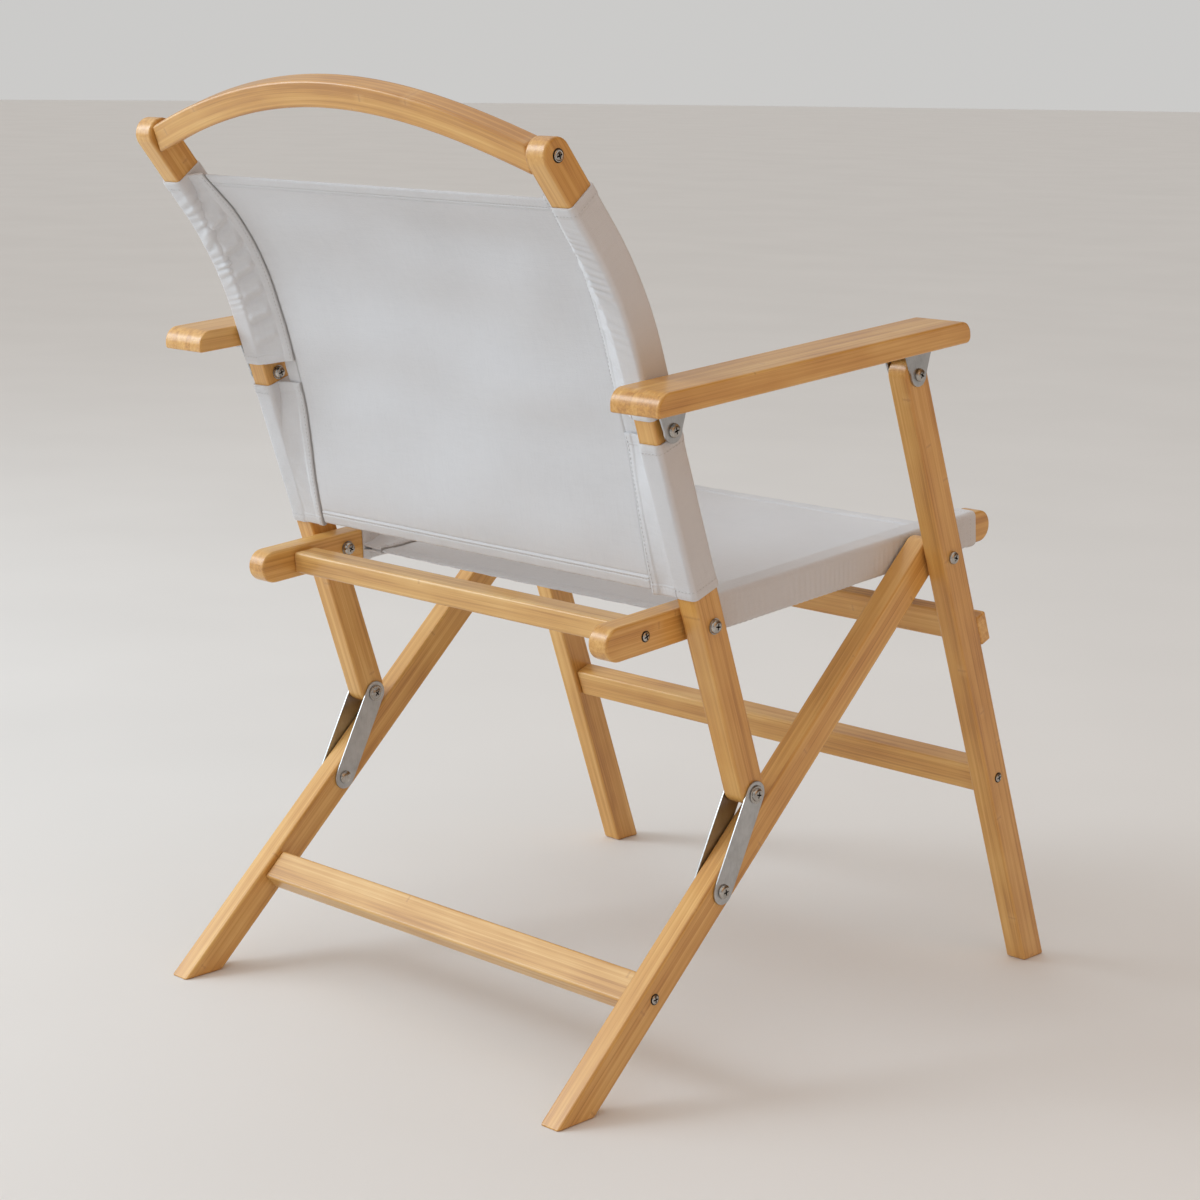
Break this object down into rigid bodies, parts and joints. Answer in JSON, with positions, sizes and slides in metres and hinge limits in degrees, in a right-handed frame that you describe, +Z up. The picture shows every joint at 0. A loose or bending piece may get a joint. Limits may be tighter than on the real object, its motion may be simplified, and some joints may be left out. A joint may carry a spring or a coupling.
{
  "type": "director chair",
  "caption": "Folding armchair of laminated bamboo with a slung canvas seat and back, an arched top rail, flat armrests and steel link plates that fold it flat.",
  "frame": {"origin": "middle of the footprint at floor level, under the middle of the overall width and depth", "axes": "+Z up, -Y is the way the sitter faces, +X is the sitter's left"},
  "size_m": [0.5952, 0.6502, 0.8021],
  "materials": {
    "bamboo": "satin lacquer on laminated bamboo",
    "canvas": "matt off-white cotton canvas",
    "zinc_plate": "zinc-plated sheet steel",
    "bolt_steel": "bright nickel-plated bolts and screws"
  },
  "bodies": {
    "seat": {"front_pivot_nut_L": "bolt_steel", "front_pivot_nut_R": "bolt_steel", "rail_screw_L": "bolt_steel", "rail_screw_R": "bolt_steel", "rear_cross_rail": "bamboo", "rear_pivot_bolt_L": "bolt_steel", "rear_pivot_bolt_R": "bolt_steel", "rear_pivot_nut_L": "bolt_steel", "rear_pivot_nut_R": "bolt_steel", "seat_canvas": "canvas", "seat_rail_L": "bamboo", "seat_rail_R": "bamboo"},
    "back": {"arch_screw_L": "bolt_steel", "arch_screw_R": "bolt_steel", "arm_nut_rear_L": "bolt_steel", "arm_nut_rear_R": "bolt_steel", "back_canvas": "canvas", "back_post_L": "bamboo", "back_post_R": "bamboo", "top_arch": "bamboo"},
    "front_frame": {"front_board": "bamboo", "front_leg_L": "bamboo", "front_leg_R": "bamboo", "front_pivot_bolt_L": "bolt_steel", "front_pivot_bolt_R": "bolt_steel", "front_stretcher": "bamboo", "front_stretcher_screw_L": "bolt_steel", "front_stretcher_screw_R": "bolt_steel"},
    "rear_frame": {"rear_leg_L": "bamboo", "rear_leg_R": "bamboo", "rear_stretcher": "bamboo", "rear_stretcher_screw_L": "bolt_steel", "rear_stretcher_screw_R": "bolt_steel"},
    "link_L": {"link_pin_lower_L": "bolt_steel", "link_pin_upper_inner_L": "bolt_steel", "link_pin_upper_outer_L": "bolt_steel", "link_plate_inner_L": "zinc_plate", "link_plate_outer_L": "zinc_plate"},
    "link_R": {"link_pin_lower_R": "bolt_steel", "link_pin_upper_inner_R": "bolt_steel", "link_pin_upper_outer_R": "bolt_steel", "link_plate_inner_R": "zinc_plate", "link_plate_outer_R": "zinc_plate"},
    "arm_L": {"arm_bolt_front_L": "bolt_steel", "arm_bolt_rear_L": "bolt_steel", "arm_bracket_front_L": "zinc_plate", "arm_bracket_rear_L": "zinc_plate", "armrest_L": "bamboo"},
    "arm_R": {"arm_bolt_front_R": "bolt_steel", "arm_bolt_rear_R": "bolt_steel", "arm_bracket_front_R": "zinc_plate", "arm_bracket_rear_R": "zinc_plate", "armrest_R": "bamboo"}
  },
  "joints": [
    {"name": "fold", "type": "hinge", "parent": "seat", "child": "back", "pos_m": [0, 0.11813, 0.374], "axis": [1, 0, 0], "range_deg": [0, 86]},
    {"name": "front_leg_swing", "type": "hinge", "parent": "seat", "child": "front_frame", "pos_m": [0, -0.16307, 0.3952], "axis": [1, 0, 0], "range_deg": [-0.5, 86.5]},
    {"name": "rear_leg_swing", "type": "hinge", "parent": "seat", "child": "rear_frame", "pos_m": [0, -0.16307, 0.3952], "axis": [1, 0, 0], "range_deg": [-0.5, 26]},
    {"name": "arm_swing_L", "type": "hinge", "parent": "back", "child": "arm_L", "pos_m": [0, 0.17663, 0.537], "axis": [1, 0, 0], "range_deg": [-86.5, 0.5]},
    {"name": "arm_swing_R", "type": "hinge", "parent": "back", "child": "arm_R", "pos_m": [0, 0.17663, 0.537], "axis": [1, 0, 0], "range_deg": [-86.5, 0.5]},
    {"name": "link_swing_L", "type": "hinge", "parent": "rear_frame", "child": "link_L", "pos_m": [0, 0.1027, 0.1519], "axis": [1, 0, 0], "range_deg": [-128.54, 0.5]},
    {"name": "link_swing_R", "type": "hinge", "parent": "rear_frame", "child": "link_R", "pos_m": [0, 0.1027, 0.1519], "axis": [1, 0, 0], "range_deg": [-128.54, 0.5]}
  ],
  "couplings": [
    {"joint": "front_leg_swing", "follows": "fold", "ratio": 1},
    {"joint": "rear_leg_swing", "follows": "fold", "ratio": 0.29647},
    {"joint": "arm_swing_L", "follows": "fold", "ratio": -1},
    {"joint": "arm_swing_R", "follows": "fold", "ratio": -1},
    {"joint": "link_swing_L", "follows": "fold", "ratio": -1.4889},
    {"joint": "link_swing_R", "follows": "fold", "ratio": -1.4889}
  ]
}
